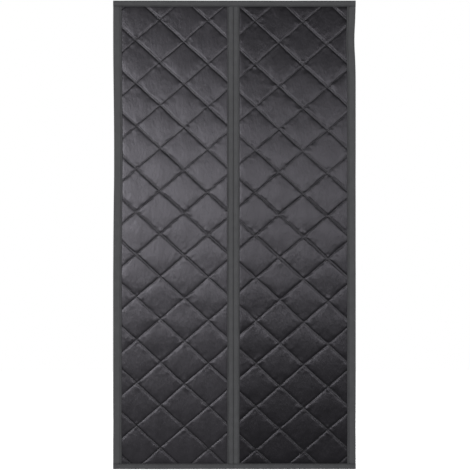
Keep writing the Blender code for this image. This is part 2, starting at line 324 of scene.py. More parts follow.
def lattice_steps(quilt):
    """The two sides of a diamond in X and Z: one runs down to the right, the other up to the right."""
    half = quilt.diamond_width / 2
    down = np.array((half, -(quilt.diamond_height + quilt.row_drop) / 2))
    up = np.array((half, (quilt.diamond_height - quilt.row_drop) / 2))
    return down, up


def to_lattice(x, z, leaf, quilt):
    """Quilting coordinates of a place: how many steps down and up lead to it from the crossing."""
    down, up = lattice_steps(quilt)
    inverse = np.linalg.inv(np.array((down, up)).T)
    dx, dz = x - leaf.crossing[0], z - leaf.crossing[1]
    return inverse[0, 0] * dx + inverse[0, 1] * dz, inverse[1, 0] * dx + inverse[1, 1] * dz


def from_lattice(u, v, leaf, quilt):
    """The place of quilting coordinates: crossing + u · down + v · up."""
    down, up = lattice_steps(quilt)
    return (
        leaf.crossing[0] + u * down[0] + v * up[0],
        leaf.crossing[1] + u * down[1] + v * up[1],
    )


def seam_spacing(quilt):
    """Distances between neighbouring seams that rise to the right, and between those that fall."""
    down, up = lattice_steps(quilt)
    area = abs(down[0] * up[1] - down[1] * up[0])
    return area / np.linalg.norm(up), area / np.linalg.norm(down)


def to_seams(x, z, leaf, quilt):
    """Distances to the nearest seam of each family, and how far apart the seams of each lie."""
    spacings = seam_spacing(quilt)
    steps = to_lattice(x, z, leaf, quilt)
    return [np.abs(s - np.round(s)) * spacing for s, spacing in zip(steps, spacings)], spacings


def side_lines(spacing, seams, steps, growth):
    """Shares of a diamond's side where lines of points lie. From each seam of the list, given as a
    distance from the side's end, the spacing grows by the same factor from line to line."""
    first, last = seams[0], seams[-1]
    run = np.cumsum(growth ** np.arange(steps))
    run = run / run[-1] * (spacing - last + first) / 2
    rising = last + run
    between = np.linspace(first, last, len(seams) * 2 + 1) if last > first else np.array([first])
    falling = first + spacing - run[:-1][::-1]
    return np.concatenate((between, rising, falling)) / spacing


def lattice_span(rect, leaf, quilt):
    """First and last whole number of steps down, and of steps up, between which rect lies."""
    corners = [to_lattice(x, z, leaf, quilt) for x in rect[:2] for z in rect[2:]]
    return [(math.floor(min(steps)), math.ceil(max(steps))) for steps in zip(*corners)]


def lattice_sheet(name, leaf, quilt, rect, steps, growth, double):
    """A flat mesh over rect. Its points are crossing + u·down + v·up, with u and v at the shares that
    side_lines gives, so that lines of points follow every seam, and it is cut off along rect."""
    spacing_u, spacing_v = seam_spacing(quilt)
    half_gap = quilt.row_gap / 2
    lines = (
        side_lines(spacing_u, (0,), steps, growth),
        side_lines(spacing_v, (-half_gap, half_gap) if double else (0,), steps, growth),
    )
    us, vs = (
        np.sort((np.arange(first - 1, last + 2)[:, None] + shares).ravel())
        for (first, last), shares in zip(lattice_span(rect, leaf, quilt), lines)
    )
    u, v = np.meshgrid(us, vs, indexing="ij")
    x, z = from_lattice(u.ravel(), v.ravel(), leaf, quilt)
    faces = grid_faces(len(us), len(vs))
    inside = (x > rect.left) & (x < rect.right) & (z > rect.bottom) & (z < rect.top)
    faces = faces[inside[faces].any(axis=1)]
    used, faces = np.unique(faces, return_inverse=True)
    points = np.stack((x[used], np.zeros(len(used)), z[used]), axis=1)
    mesh = make_mesh(name, points, faces.reshape(-1, 4))

    def cut(work):
        cut_along(work, leaf.sewn, trim=False)
        cut_along(work, rect, trim=True)

    edit_mesh(mesh, cut)
    return mesh


def cut_along(work, rect, trim):
    """Cuts a flat mesh along the four sides of rect, and takes off what lies outside if trim is set."""
    sides = (
        ((rect.left, 0, 0), (-1, 0, 0)), ((rect.right, 0, 0), (1, 0, 0)),
        ((0, 0, rect.bottom), (0, 0, -1)), ((0, 0, rect.top), (0, 0, 1)),
    )
    for spot, normal in sides:
        everything = work.verts[:] + work.edges[:] + work.faces[:]
        bmesh.ops.bisect_plane(
            work, geom=everything, plane_co=spot, plane_no=normal, dist=CUT_SNAP, clear_outer=trim
        )


def double_sheet(work):
    """Gives a flat sheet a back and edges. Its faces are put in the order of their three lowest
    corners, so that every run gives the same mesh."""
    bmesh.ops.extrude_face_region(work, geom=work.faces[:])
    work.verts.index_update()
    count = len(work.verts)

    def order(face):
        low, middle, high = sorted(corner.index for corner in face.verts)[:3]
        return (low * count + middle) * count + high

    work.faces.sort(key=order)


# Relief of the quilt

def dome(along):
    """Height across a pillow, from 0 at its edge to 1 in its middle: 1 - (1 - s)^2.3."""
    return 1 - (1 - along) ** 2.3


def ramp(away):
    """Height of a seam's wall, from 0 at the stitches to 1: x / (1 + x^4)^(1/4), an even slope that
    rounds off at x = 1."""
    return away / (1 + away ** 4) ** 0.25


def pillow_number(cell_u, cell_v, seed):
    """A number from -1 to 1 that belongs to one pillow."""
    side = 31
    table = np.random.default_rng(seed).uniform(-1, 1, (side, side))
    return table[cell_u.astype(int) % side, cell_v.astype(int) % side]


# Shares of the full depth that each leaf's single and double seams are drawn in, at the top and the hem
SEAM_DEPTHS = {"left": ((0.70, 1.0), (1.0, 0.75)), "right": ((0.75, 1.0), (1.0, 0.95))}


def seam_depths(z, leaf):
    """How deep the single and the double seams are drawn in. Down the leaf the single seams grow
    deeper and the double ones shallower."""
    step = change_down(z, 0.15, 0.6)
    return [top + (bottom - top) * step for top, bottom in SEAM_DEPTHS[leaf.side]]


def welt_side(z):
    """Which row of a double seam lies higher: -1 for the upper one, near the top, and 1 for the lower
    one, near the hem, with a smooth step between."""
    return 2 * change_down(z, 0.45, 0.17) - 1


# How much further walls reach beside single seams, and on the deeper side of a double seam
SINGLE_WALL, DEEP_WALL = 1.6, 0.5
# How much pillows differ in height, and part of the rise at the bindings that is a steep wall
FULLNESS, EDGE_WALL = 0.15, 0.55
# Gathers: strength, spacing along the seam, length, and how far from the seam they start and fade
GATHER_GAIN, GATHER_SPACING, GATHER_LENGTH = 2.2, 0.011, 0.03
GATHER_START, GATHER_FADE = 0.0022, 0.013
# Welt: how much it swells between its rows, and how far beyond them it fades
WELT_SWELL, WELT_FADE = 0.12, 0.012
# Reach of the painted shade in a crease on a seam's shallow side, what the deep side adds, and how that
# changes down the leaf
CREASE_REACH, CREASE_DEEP, CREASE_CHANGE = 0.0011, 0.0041, 0.0013
# How fast the creases and their painted shade grow from the bindings inward
CREASE_FADE = 6
# Long wrinkles, coarse and fine: width, how far they run askew, length, strength and seed
WRINKLES = ((0.034, 0.4, 0.15, 1.0, 21), (0.017, 0, 0.06, 0.5, 22))


def quilt_relief(x, z, leaf, quilt):
    """Height of the face cloth above its seams, and how deep in a crease each point lies.

    With p and q the distances to the nearest stitches of the two families of seams, a pillow is
    loft · (wall · W(p) · W(q) + (1 - wall) · D(p) · D(q)), where W is the ramp and D the dome. A
    shallow seam takes only a share of both off the height. Gathers cross the seams and long wrinkles
    run down the pillows, both smooth noise that dies out at the stitches. Every pillow has its own
    fullness and leans its own way. Between the rows of a double seam lies a welt, which slopes from
    its higher row to the other, and the surface is the cube root of pillow³ + welt³. A crease is
    exp(-(distance / reach)²), and reaches further on the side where the seam lies deeper."""
    u, v = to_lattice(x, z, leaf, quilt)
    spacing_u, spacing_v = seam_spacing(quilt)
    seam_u, seam_v = np.round(u), np.round(v)
    single = np.abs(u - seam_u) * spacing_u
    offset = (v - seam_v) * spacing_v
    half_gap = quilt.row_gap / 2
    double = np.abs(np.abs(offset) - half_gap)
    on_welt = np.abs(offset) < half_gap
    away = (single, double)
    depth = seam_depths(z, leaf)
    higher = welt_side(z)
    broader = 1 + DEEP_WALL * np.clip(np.sign(offset) * higher, 0, 1)
    wall = (
        ramp(single / (SINGLE_WALL * quilt.wall_reach * depth[0])),
        ramp(double / (quilt.wall_reach * broader)),
    )
    reach = (spacing_u / 2, spacing_v / 2 - half_gap)
    broad = [dome(np.clip(d / r, 0, 1)) for d, r in zip(away, reach)]
    sides, body = ([1 - d * (1 - rise) for d, rise in zip(depth, rises)] for rises in (wall, broad))
    inside = np.clip(depth_inside(x, z, leaf.sewn), 0, None)
    level = np.clip(inside / quilt.edge_slope, 0, 1)
    edge = EDGE_WALL * np.tanh(inside / quilt.wall_reach) + (1 - EDGE_WALL) * (1 - (1 - level) ** 2)
    cell_u, cell_v = np.floor(u), np.floor(v)
    fullness, lean_u, lean_v = (pillow_number(cell_u, cell_v, seed) for seed in (3, 4, 5))
    pillow = quilt.wall_share * sides[0] * sides[1] + (1 - quilt.wall_share) * body[0] * body[1]
    height = quilt.loft * (1 + FULLNESS * fullness) * pillow
    leaning = lean_u * (u - cell_u - 0.5) * spacing_u + lean_v * (v - cell_v - 0.5) * spacing_v
    height = height + quilt.lean * leaning * broad[0] * broad[1]
    along = (v * spacing_v / GATHER_SPACING, u * spacing_u / GATHER_SPACING)
    strand = (seam_u * 3.7 + np.sign(u - seam_u), seam_v * 5.3 + np.sign(v - seam_v))
    for k in (0, 1):
        fade = np.exp(-away[k] / GATHER_FADE) * (1 - np.exp(-away[k] / GATHER_START))
        gathers = soft_noise(along[k], away[k] / GATHER_LENGTH + strand[k], 11 + k)
        height = height + quilt.pucker * GATHER_GAIN * fade * wall[1 - k] * gathers
    run = sum(
        strength * soft_noise(x / width + askew * z, z / long, seed)
        for width, askew, long, strength, seed in WRINKLES
    )
    height = height + quilt.wrinkle * run * broad[0] * broad[1]
    slope = np.abs(higher) * np.clip((1 - np.sign(higher) * offset / half_gap) / 2, 0, 1)
    swell = WELT_SWELL * np.clip(1 - (offset / half_gap) ** 2, 0, 1)
    fade = np.where(on_welt, 1, np.exp(-double / WELT_FADE))
    welt = quilt.welt * (slope + swell) * fade * wall[0]
    height = np.clip(np.where(on_welt, 0, height), 0, None)
    height = np.cbrt(height ** 3 + welt ** 3) * edge
    # How deep in a crease each point lies, which is where the face cloth is painted with shade
    creases = []
    for distance, side in ((single, seam_u - u), (double, offset)):
        deep = np.clip(0.5 + 0.5 * np.sign(side) * higher, 0, 1)
        reach = CREASE_REACH + (CREASE_DEEP - CREASE_CHANGE * higher) * deep
        creases.append(np.exp(-(distance / reach) ** 2))
    return height, np.maximum(*creases) * np.clip(edge * CREASE_FADE, 0, 1)


def depth_inside(x, z, rect):
    """Distance to the nearest side of rect, negative outside it."""
    return np.minimum(np.minimum(x - rect.left, rect.right - x), np.minimum(z - rect.bottom, rect.top - z))


def edge_share(x, z, rect, slope):
    """0 at the bindings and outside them, rising to 1 at slope inside the visible quilt as a quarter
    of a circle does."""
    t = np.clip(depth_inside(x, z, rect) / slope, 0, 1)
    return np.sqrt(1 - (1 - t) ** 2)


# Two sizes of the seams' bends, and how far inside the bindings they reach full size
WANDER_SIZES, WANDER_START = (0.09, 0.07), 0.03


def seam_wander(x, z, leaf, quilt):
    """How far a point of the quilt strays in X and Z from the straight lattice: smooth noise that
    dies out at the bindings."""
    room = quilt.wander * np.clip(depth_inside(x, z, leaf.visible) / WANDER_START, 0, 1)
    start = 3 if leaf.side == "left" else 17
    sizes = (WANDER_SIZES, WANDER_SIZES[::-1])
    return [room * soft_noise(x / a + start, z / b, seed) for (a, b), seed in zip(sizes, (61, 62))]


def finished_place(x, z, leaf, quilt, bow):
    """Where a point of the flat quilt ends up in X and Z."""
    wander_x, wander_z = seam_wander(x, z, leaf, quilt)
    return x + wander_x + bow_shift(x, z, leaf, bow), z + wander_z


def plain_relief(x, z, leaf, quilt):
    """The dome alone, multiplied over both families of seams, for what lies under the cloths. It
    starts beyond the double seams' welts."""
    start = quilt.row_gap / 2 + quilt.wall_reach
    rises = [
        dome(np.clip((away - start) / (spacing / 2 - start), 0, 1))
        for away, spacing in zip(*to_seams(x, z, leaf, quilt))
    ]
    return rises[0] * rises[1] * edge_share(x, z, leaf.visible, quilt.edge_slope)


# The lining's gathers: strength, count along a diamond's side, and where beside a seam they start and fade
BACK_GATHERS, BACK_COUNT, BACK_START, BACK_FADE = 0.16, 12, 0.003, 0.016
# Shares of the lining's bulge that are steep walls and domes, and reach of the painted shade in its creases
BACK_WALLS, BACK_DOMES, BACK_CREASE = 0.4, 0.5, 0.002


def lining_relief(x, z, leaf, quilt):
    """Height of the lining's bulge, from 0 at the seams to 1, and how deep in a crease each point lies.

    The bulge is a share of the walls, tanh(distance / reach), and one of the domes, each multiplied
    over both families of seams. Small gathers, smooth noise, start and fade beside the seams."""
    u, v = to_lattice(x, z, leaf, quilt)
    away, spacings = to_seams(x, z, leaf, quilt)
    rises = [dome(np.clip(2 * a / spacing, 0, 1)) for a, spacing in zip(away, spacings)]
    nearest = np.minimum(*away)
    fade = np.exp(-nearest / BACK_FADE) * (1 - np.exp(-nearest / BACK_START))
    gathers = BACK_GATHERS * fade * soft_noise((u + v) * BACK_COUNT, (u - v) * BACK_COUNT, 31)
    walls = [np.tanh(a / quilt.wall_reach) for a in away]
    swell = BACK_WALLS * walls[0] * walls[1] + BACK_DOMES * rises[0] * rises[1]
    edge = edge_share(x, z, leaf.visible, quilt.edge_slope)
    return (swell + gathers) * edge, np.exp(-(nearest / BACK_CREASE) ** 2) * edge


# Meshes

def grid_faces(rows, columns):
    """Four corners of each cell of a grid of points, numbered row by row."""
    corner = np.arange((rows - 1) * columns).reshape(rows - 1, columns)[:, :-1].ravel()
    return np.stack((corner, corner + columns, corner + columns + 1, corner + 1), axis=1)


def make_mesh(name, points, faces):
    """A mesh of points and of faces that all have as many corners as the array has columns."""
    mesh = bpy.data.meshes.new(name)
    corners = faces.shape[1]
    mesh.vertices.add(len(points))
    mesh.vertices.foreach_set("co", np.asarray(points, np.float32).ravel())
    mesh.loops.add(faces.size)
    mesh.loops.foreach_set("vertex_index", faces.astype(np.int32).ravel())
    mesh.polygons.add(len(faces))
    mesh.polygons.foreach_set("loop_start", np.arange(0, faces.size, corners, dtype=np.int32))
    mesh.update(calc_edges=True)
    return mesh


def mesh_points(mesh):
    points = np.empty(len(mesh.vertices) * 3, np.float32)
    mesh.vertices.foreach_get("co", points)
    return points.reshape(-1, 3).astype(float)


def edit_mesh(mesh, change):
    """Runs a change on a mesh by way of its editable form."""
    work = bmesh.new()
    work.from_mesh(mesh)
    change(work)
    work.to_mesh(mesh)
    work.free()


def set_points(mesh, points):
    mesh.vertices.foreach_set("co", np.asarray(points, np.float32).ravel())
    mesh.update()


def face_outwards(points, faces):
    """The faces, turned round if the volume they enclose, summed over their corners, is negative."""
    a, b, c = (points[faces[:, k]] for k in (0, 1, 2))
    volume = np.einsum("ij,ij->i", a, np.cross(b, c)).sum()
    if faces.shape[1] == 4:
        d = points[faces[:, 3]]
        volume += np.einsum("ij,ij->i", a, np.cross(c, d)).sum()
    return faces if volume > 0 else faces[:, ::-1]


def add_piece(name, mesh, finish, slot, *nodes):
    """Links a finished mesh as a piece that rides on the curtain and stands for the named nodes."""
    mesh.materials.append(finish)
    mesh.shade_smooth()
    piece = bpy.data.objects.new(name, mesh)
    bpy.context.scene.collection.objects.link(piece)
    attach(piece, "root")
    if nodes:
        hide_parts(*nodes)
    return piece


def set_crease(mesh, crease):
    """Notes how deep in a crease each point lies, which the finishes read for painted shade."""
    attribute = mesh.attributes.new("crease", "FLOAT", "POINT")
    attribute.data.foreach_set("value", crease.ravel().astype(np.float32))


def lay_out(mesh, depth, leaf, curtain):
    """Moves the points of a flat quilted mesh to their depths and finished places."""
    points = mesh_points(mesh)
    placed = finished_place(points[:, 0], points[:, 2], leaf, curtain.quilt, curtain.binding.bow)
    points[:, 0], points[:, 2] = placed
    points[:, 1] = -depth
    set_points(mesh, points)


def add_quilted(mesh, finish, slot, leaf, thickness):
    """Adds a quilted cloth of one leaf, whose flat size is the outline it is cut to."""
    piece = add_piece(mesh.name, mesh, finish, slot, f"{slot}_{leaf.side}")
    cloth = piece.modifiers.new("cloth", "SOLIDIFY")
    cloth.thickness = thickness
    cloth.offset = -1


# Finishes

def opaque(value):
    """A colour with full alpha. The socket of a colour stays as it is."""
    return value if isinstance(value, bpy.types.NodeSocket) else (*value, 1)


class Finish:
    """One material and short names for adding nodes to it."""

    def __init__(self, name, colour, roughness, metallic=0.0, **constants):
        self.material = bpy.data.materials.new(name)
        self.material.use_nodes = True
        self.material.diffuse_color = (*colour, 1)
        self.tree = self.material.node_tree
        self.shader = self.tree.nodes["Principled BSDF"]
        self.colour = tuple(colour)
        self.set("Base Color", (*colour, 1))
        self.set("Roughness", roughness)
        self.set("Metallic", metallic)
        for socket, value in constants.items():
            self.set(socket.replace("_", " ").title().replace("Ior", "IOR"), value)

    def set(self, socket, value):
        self.shader.inputs[socket].default_value = value

    def add(self, kind, inputs=None, **settings):
        node = self.tree.nodes.new("ShaderNode" + kind)
        for key, value in settings.items():
            setattr(node, key, value)
        for key, value in (inputs or {}).items():
            if isinstance(value, bpy.types.NodeSocket):
                self.tree.links.new(value, node.inputs[key])
            else:
                node.inputs[key].default_value = value
        return node

    def finished(self, colour, normal, roughness=None):
        """The material, with what is given linked to its shader."""
        for socket, value in (("Base Color", colour), ("Roughness", roughness), ("Normal", normal)):
            if value:
                self.tree.links.new(value, self.shader.inputs[socket])
        return self.material

    def place(self, scale=(1, 1, 1), turn=(0, 0, 0)):
        """Object coordinates, stretched and turned."""
        own = self.add("TexCoord").outputs["Object"]
        return self.add("Mapping", {"Vector": own, "Scale": scale, "Rotation": turn}).outputs["Vector"]

    def noise(self, place, scale, detail=2.0):
        inputs = {"Vector": place, "Scale": scale, "Detail": detail}
        return self.add("TexNoise", inputs).outputs["Fac"]

    def waves(self, place, period, direction="X", distortion=0.0):
        """Bands that repeat after period. The texture itself repeats after a tenth of pi."""
        inputs = {"Vector": place, "Scale": math.pi / 10 / period, "Distortion": distortion}
        return self.add("TexWave", inputs, bands_direction=direction).outputs["Fac"]

    def sum(self, a, b, b_share=1.0):
        return self.add("Math", {0: b, 1: b_share, 2: a}, operation="MULTIPLY_ADD").outputs[0]

    def times(self, a, b):
        return self.add("Math", {0: a, 1: b}, operation="MULTIPLY").outputs[0]

    def span(self, value, low, high, first=0.3, last=0.7):
        """Values from first to last, stretched to run from low to high."""
        inputs = {"Value": value, "From Min": first, "From Max": last, "To Min": low, "To Max": high}
        return self.add("MapRange", inputs).outputs["Result"]

    def mix(self, factor, a, b):
        return self.add("Mix", {0: factor, 6: opaque(a), 7: opaque(b)}, data_type="RGBA").outputs[2]

    def bump(self, height, distance, strength=1.0, normal=None):
        inputs = {"Height": height, "Distance": distance, "Strength": strength}
        if normal:
            inputs["Normal"] = normal
        return self.add("Bump", inputs).outputs["Normal"]

    def crease(self):
        """How deep in a crease the cloth is, which the finishes use for painted shade."""
        return self.add("Attribute", attribute_name="crease").outputs["Fac"]

    def shades(self, factor, spread):
        """The finish's own colour, darker and lighter by spread as factor goes from 0 to 1."""
        dark = tuple(c * (1 - spread) for c in self.colour)
        light = tuple(min(1, c * (1 + spread)) for c in self.colour)
        return self.mix(factor, dark, light)


def face_cloth_finish(name, cloth_colour, quilt):
    """Satin microfibre: a fine plain weave, crinkles and long streaks, and painted shade down in the creases,
    which are also rougher.
    """
    f = Finish(
        name, cloth_colour, 0.47, specular_ior_level=quilt.gloss, sheen_weight=0.05, sheen_roughness=0.35
    )
    f.set("Specular Tint", (*quilt.gloss_tint, 1))
    place = f.place()
    mottle = f.noise(place, 34, 5)
    streaks = f.noise(f.place(scale=(46, 46, 9)), 1, 3)
    crinkles = f.noise(f.place(scale=(1, 1, 0.6)), 85, 4)
    tone = f.sum(f.times(mottle, 0.5), streaks, 0.5)
    crease = f.crease()
    # Painted shade: the crease shade colour is mixed in down in the creases
    cloth = f.mix(crease, f.shades(f.span(tone, 0, 1), 0.20), quilt.crease_shade_colour)
    weave = f.sum(f.waves(place, 0.0011, "X"), f.waves(place, 0.0011, "Z"))
    folds = f.bump(streaks, 0.0009, 0.6)
    crumple = f.bump(crinkles, 0.0017, 0.9, folds)
    rough = f.sum(f.span(mottle, 0.42, 0.50), crease, 0.14)
    return f.finished(cloth, f.bump(weave, 0.00006, 0.5, crumple), rough)


def binding_finish(binding):
    """Matt woven strip: a fine twill with uneven yarns and a faint mottle, with painted shade along its
    stitches, its inner edge and its fold.
    """
    f = Finish(
        "woven binding", binding.colour, 0.88, specular_ior_level=0.20, sheen_weight=0.05, sheen_roughness=0.5
    )
    place = f.place()
    mottle = f.noise(place, 28, 4)
    yarns = f.noise(f.place(scale=(1, 1, 0.3)), 420, 2)
    tone = f.sum(f.times(mottle, 0.6), yarns, 0.4)
    # Painted shade: the binding's crease shade colour is mixed in along its stitches, inner edge and fold
    cloth = f.mix(f.crease(), f.shades(f.span(tone, 0, 1), 0.12), binding.crease_shade_colour)
    twill = f.waves(f.place(turn=(0, math.radians(32), 0)), 0.0016, "X", 0.4)
    weft = f.waves(place, 0.0009, "Z")
    return f.finished(cloth, f.bump(f.sum(twill, weft, 0.5), 0.00012, 0.6, f.bump(yarns, 0.0004, 0.4)))


def lining_finish(lining):
    """Matt taffeta lining."""
    f = Finish("taffeta lining", lining.colour, 0.50, sheen_weight=0.1, sheen_roughness=0.5)
    place = f.place()
    mottle = f.noise(place, 14, 4)
    slubs = f.noise(f.place(scale=(30, 30, 420)), 1, 2)
    tone = f.sum(f.times(mottle, 0.5), slubs, 0.5)
    # Painted shade: the lining's crease shade colour is mixed in along its seams
    cloth = f.mix(f.crease(), f.shades(f.span(tone, 0, 1), 0.14), lining.crease_shade_colour)
    weave = f.sum(f.waves(place, 0.0012, "X"), f.waves(place, 0.0012, "Z"))
    crinkles = f.bump(f.noise(place, 110, 3), 0.0006, 0.6)
    return f.finished(cloth, f.bump(weave, 0.00006, 0.5, crinkles), f.span(mottle, 0.46, 0.56))


def wadding_finish(lining):
    """Tangled white fibre."""
    f = Finish("fibre wadding", lining.wadding_colour, 0.95, sheen_weight=0.3)
    fibres = f.noise(f.place(scale=(300, 900, 500)), 1, 6)
    return f.finished(f.shades(fibres, 0.12), f.bump(fibres, 0.0008, 0.8))


def thread_finish(name, colour):
    """Twisted polyester thread."""
    f = Finish(name, colour, 0.5, sheen_weight=0.2)
    twist = f.waves(f.place(turn=(0, math.radians(45), 0)), 0.0009, "X", 1.0)
    return f.finished(f.shades(twist, 0.3), f.bump(twist, 0.0001, 0.6))


def loop_finish(fixing):
    """Brushed loops: a dark fuzz."""
    f = Finish("loop pile", fixing.loop_colour, 0.95, sheen_weight=0.5, sheen_roughness=0.6)
    fuzz = f.noise(f.place(), 700, 5)
    return f.finished(f.shades(fuzz, 0.45), f.bump(fuzz, 0.0006, 1.0))


def hook_finish(fixing):
    """Moulded hooks in rows, on a ribbed strip."""
    f = Finish("moulded hooks", fixing.hook_colour, 0.45)
    place = f.place()
    rows = f.times(f.waves(place, 0.0018, "X"), f.waves(place, 0.0018, "Z"))
    scuffs = f.noise(place, 60, 4)
    worn = f.shades(f.span(scuffs, 0, 1), 0.35)
    return f.finished(worn, f.bump(rows, 0.0005, 0.9), f.span(scuffs, 0.35, 0.55))


def metal_finish(name, colour, roughness, grain):
    """Plated metal with a faint grain along its length."""
    f = Finish(name, colour, roughness, 1.0)
    scratches = f.noise(f.place(scale=grain), 1, 4)
    rough = f.span(scratches, roughness - 0.08, roughness + 0.12)
    return f.finished(f.shades(scratches, 0.15), f.bump(scratches, 0.0001, 0.4), rough)


# Folded strips

def all_strips(leaf_of, binding):
    """The header's strip and the three of each leaf. A strip starts at origin, runs along for its
    length and reaches inward from its fold for its width. row is the distance from the fold to its
    stitches."""
    low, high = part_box("header_binding")
    top = low.z
    parts = [("header", (low.x, 0, high.z), DOWN, ACROSS, high.x - low.x, binding.cross_row)]
    for side, leaf in leaf_of.items():
        low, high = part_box(f"hem_binding_{side}")
        start, end = (low.x, MEETING_LINE) if side == "left" else (MEETING_LINE, high.x)
        tall, out = top - high.z, leaf.out
        parts += [
            (f"side_{side}", (leaf.outer, 0, top), (-out, 0, 0), DOWN, tall, binding.side_row),
            (f"meeting_{side}", (leaf.meeting, 0, top), (out, 0, 0), DOWN, tall, binding.meeting_row),
            (f"hem_{side}", (start, 0, low.z), UP, ACROSS, end - start, binding.cross_row),
        ]
    found = []
    for part, origin, inward, along, run, edge in parts:
        node = part.replace("_", "_binding_") if "_" in part else f"{part}_binding"
        low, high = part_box(node)
        width = high.z - low.z if inward[2] else high.x - low.x
        magnets = part.startswith("meeting")
        found.append(Strip(f"bound_{part}", node, origin, inward, along, run, width, width - edge, magnets))
    return found


def magnet_places(strip):
    """Middles of the magnets under a strip, as distances along it."""
    if not strip.magnets:
        return np.array([])
    side = strip.name.rsplit("_", 1)[1]
    middles = []
    for name in sorted(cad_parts):
        if name.startswith(f"magnet_{side}"):
            low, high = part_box(name)
            middles.append(strip.origin[2] - (low.z + high.z) / 2)
    return np.array(middles)


# Reach of the pinch along a strip's stitches, and of a magnet's bump from its middle
PINCH_REACH, BUMP_REACH = 0.0014, 0.028
# Height of the swelling beyond the stitches as a share of the one before them, and how uneven both are
SECOND_SWELL, UNEVENNESS = 0.7, 0.5
# Room between the pillows and the strip that lies on them, and between cloth and thread
FLAP_ROOM, THREAD_ROOM = 0.0004, 0.0001


def lip_depth(inward, along, strip, binding, depths):
    """Depth of the middle of the front lip's cloth: flat, swelling as half a sine wave on both sides
    of its stitches, pulled in along them, uneven along the strip and lifted over the magnets."""
    middle = depths.binding_front - binding.cloth / 2
    nose = (depths.binding_front - depths.binding_back) / 2
    first = np.clip((inward - nose) / (strip.row - nose), 0, 1)
    second = np.clip((inward - strip.row) / (strip.width - strip.row), 0, 1)
    uneven = 1 + UNEVENNESS * soft_noise(along / 0.045, inward / 0.02, 41)
    swell = binding.bulge * uneven * (np.sin(math.pi * first) + SECOND_SWELL * np.sin(math.pi * second))
    groove = binding.groove * np.exp(-((inward - strip.row) / PINCH_REACH) ** 2)
    lift = np.zeros_like(along * inward)
    for magnet in magnet_places(strip):
        near = np.clip(1 - (np.abs(along - magnet) / BUMP_REACH) ** 4, 0, 1)
        lift = np.maximum(lift, near)
    lift = binding.magnet_lift * lift * np.sin(math.pi * np.clip(inward / strip.row, 0, 1)) ** 0.5
    return middle + swell - groove + lift


def strip_places(strip, inward, along):
    """Places at distances inward from a strip's fold and along it, at no depth yet."""
    start, inner_way, long_way = (np.array(v, float) for v in (strip.origin, strip.inward, strip.along))
    return start + inward[..., None] * inner_way + along[..., None] * long_way


def flap_rise(inward, along, strip, leaf_of, quilt, depths, binding):
    """Depth that the middle of the front lip's cloth needs to lie on the pillows: the face cloth's
    relief under each point, the highest of three neighbours along the strip and then their mean,
    with half the strip's cloth and a little room on top."""
    places = strip_places(strip, inward, along)
    x, z = places[..., 0], places[..., 2]
    left, right = (quilt_relief(x, z, leaf_of[side], quilt)[0] for side in SIDES)
    relief = np.where(x < MEETING_LINE, left, right)
    for blend in (np.max, np.mean):
        beside = np.stack((relief[np.r_[0, :len(relief) - 1]], relief, relief[np.r_[1:len(relief), -1]]))
        relief = blend(beside, axis=0)
    return depths.face_back + quilt.cloth + relief + binding.cloth / 2 + FLAP_ROOM


# Share of the fold's waver that reaches the section, and of the waver that the inner edge takes
FOLD_WAVER, INNER_WAVER = 0.6, 0.8
# Points of the section beside the stitches, and how far to both sides of them even spacing begins
BESIDE_STITCHES = np.array((0.0012, 0, -0.0014, -0.0028))
EVEN_INSIDE, EVEN_OUTSIDE = 0.0024, 0.0045
# How far inside the stitches the lip starts to lie on the pillows and to waver, and room for that at corners
ON_PILLOWS, WAVER_START, CORNER_ROOM = 0.0002, 0.002, 0.02


def strip_section(along, strip, binding, depths, leaf_of, quilt):
    """Middle line of a strip's cloth, for every place along it: the front lip from its inner edge to
    the fold, a half circle round the fold, and the back lip. Inside its stitches the front lip lies
    on the pillows. Returns distances inward and depths, each an array of (place along, point of the
    section)."""
    nose = (depths.binding_front - depths.binding_back - binding.cloth) / 2
    nose_outer = nose + binding.cloth / 2
    middle = (depths.binding_front + depths.binding_back) / 2
    lip = np.concatenate((
        np.linspace(strip.width, strip.row + EVEN_INSIDE, 5), strip.row + BESIDE_STITCHES,
        np.linspace(strip.row - EVEN_OUTSIDE, nose_outer, 6),
    ))
    turn = np.linspace(0, math.pi, 9)[1:-1]

    def uneven(size, start, seed):
        return soft_noise(along / size, np.full_like(along, start), seed)[:, None]

    waver = binding.waver * uneven(0.11, 0.5, 51)
    if strip.magnets:
        waver = strip.inward[0] * binding.waver / FOLD_WAVER * uneven(0.16, 4.5, 53)
        waver = waver - abs(strip.origin[0] - MEETING_LINE) / FOLD_WAVER
    rows = np.ones((len(along), 1))
    front_in = lip * rows
    front_depth = lip_depth(front_in, along[:, None], strip, binding, depths)
    needed = flap_rise(front_in, along[:, None], strip, leaf_of, quilt, depths, binding)
    front_depth = np.where(lip > strip.row + ON_PILLOWS, np.maximum(front_depth, needed), front_depth)
    inner_waver = binding.waver * INNER_WAVER * uneven(0.05, 9.5, 52)
    if strip.along[0]:
        x = strip.origin[0] + along
        shown = [leaf_of[side].visible for side in SIDES]
        room = np.max([np.minimum(x - rect.left, rect.right - x) for rect in shown], axis=0)
        inner_waver = inner_waver * np.clip(room / CORNER_ROOM, 0, 1)[:, None]
    front_in = front_in + waver * FOLD_WAVER * (1 - lip / strip.width)
    front_in = front_in + inner_waver * (lip > strip.row + WAVER_START)
    turn_in = (nose_outer - nose * np.sin(turn)) * rows + waver * FOLD_WAVER
    turn_depth = middle + nose * np.cos(turn) * rows
    back_in = np.linspace(nose_outer, strip.width, 5) * rows
    back_depth = (depths.binding_back + binding.cloth / 2) * np.ones_like(back_in)
    return (
        np.concatenate((front_in, turn_in, back_in), axis=1),
        np.concatenate((front_depth, turn_depth, back_depth), axis=1),
    )


